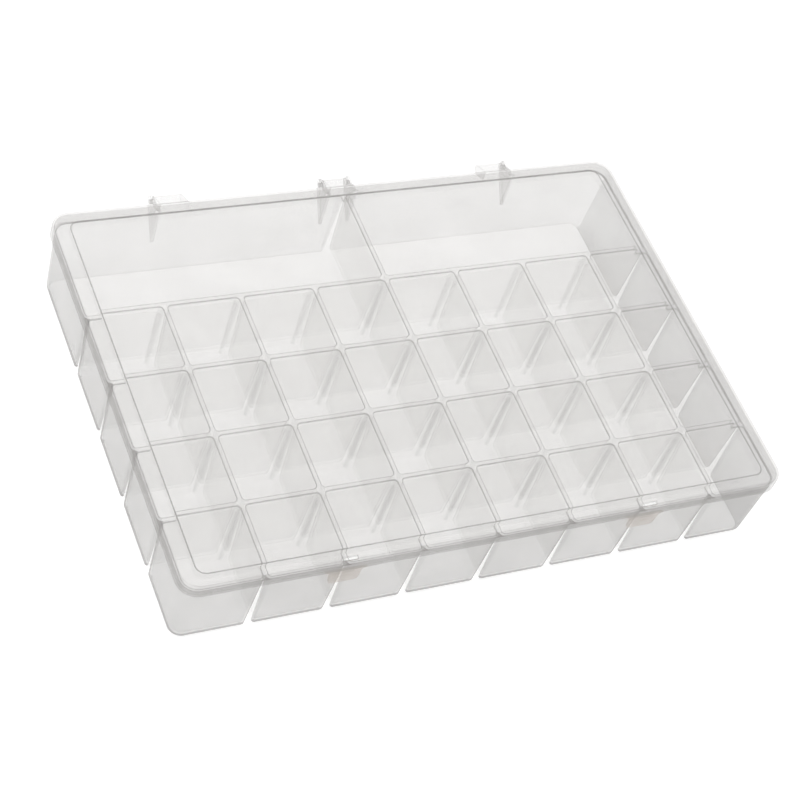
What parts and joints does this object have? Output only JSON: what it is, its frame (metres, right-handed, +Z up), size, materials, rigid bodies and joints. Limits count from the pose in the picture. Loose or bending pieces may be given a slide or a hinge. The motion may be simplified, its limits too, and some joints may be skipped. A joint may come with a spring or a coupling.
{
  "type": "divided storage organizer",
  "caption": "Shallow divided tray of square cells and two long rear bays under one hinged lid, held shut by two flexing front latches; near-clear moulded plastic.",
  "frame": {"origin": "middle of the overall box, hinge ears included, on the plane that the cup floors stand on", "axes": "+X along the eight columns, to the right seen from the latch side; +Y from the latches to the hinge; +Z up"},
  "size_m": [0.3552, 0.2614, 0.0524],
  "materials": {
    "clear_tray": "near-clear moulded polypropylene, slightly hazy",
    "clear_lid": "near-clear moulded polypropylene, smooth"
  },
  "bodies": {
    "base": {"cell_1_1": "clear_tray", "cell_1_2": "clear_tray", "cell_1_3": "clear_tray", "cell_1_4": "clear_tray", "cell_1_5": "clear_tray", "cell_1_6": "clear_tray", "cell_1_7": "clear_tray", "cell_1_8": "clear_tray", "cell_2_1": "clear_tray", "cell_2_2": "clear_tray", "cell_2_3": "clear_tray", "cell_2_4": "clear_tray", "cell_2_5": "clear_tray", "cell_2_6": "clear_tray", "cell_2_7": "clear_tray", "cell_2_8": "clear_tray", "cell_3_1": "clear_tray", "cell_3_2": "clear_tray", "cell_3_3": "clear_tray", "cell_3_4": "clear_tray", "cell_3_5": "clear_tray", "cell_3_6": "clear_tray", "cell_3_7": "clear_tray", "cell_3_8": "clear_tray", "cell_4_1": "clear_tray", "cell_4_2": "clear_tray", "cell_4_3": "clear_tray", "cell_4_4": "clear_tray", "cell_4_5": "clear_tray", "cell_4_6": "clear_tray", "cell_4_7": "clear_tray", "cell_4_8": "clear_tray", "bay_left": "clear_tray", "bay_right": "clear_tray", "ear_1": "clear_tray", "ear_2": "clear_tray", "ear_3": "clear_tray", "ear_4": "clear_tray", "catch_left": "clear_tray", "catch_right": "clear_tray"},
    "lid": {"lid": "clear_lid", "lid_rib": "clear_lid"},
    "latch_left": {"latch_left": "clear_lid"},
    "latch_right": {"latch_right": "clear_lid"}
  },
  "joints": [
    {"name": "lid_hinge", "type": "hinge", "parent": "base", "child": "lid", "pos_m": [0, 0.1269, 0.0419], "axis": [-1, 0, 0], "range_deg": [0, 180]},
    {"name": "latch_left_flex", "type": "hinge", "parent": "lid", "child": "latch_left", "pos_m": [-0.0887, -0.1307, 0.0432], "axis": [-1, 0, 0], "range_deg": [0, 12], "stiffness_Nm_per_rad": 0.05},
    {"name": "latch_right_flex", "type": "hinge", "parent": "lid", "child": "latch_right", "pos_m": [0.0887, -0.1307, 0.0432], "axis": [-1, 0, 0], "range_deg": [0, 12], "stiffness_Nm_per_rad": 0.05}
  ]
}
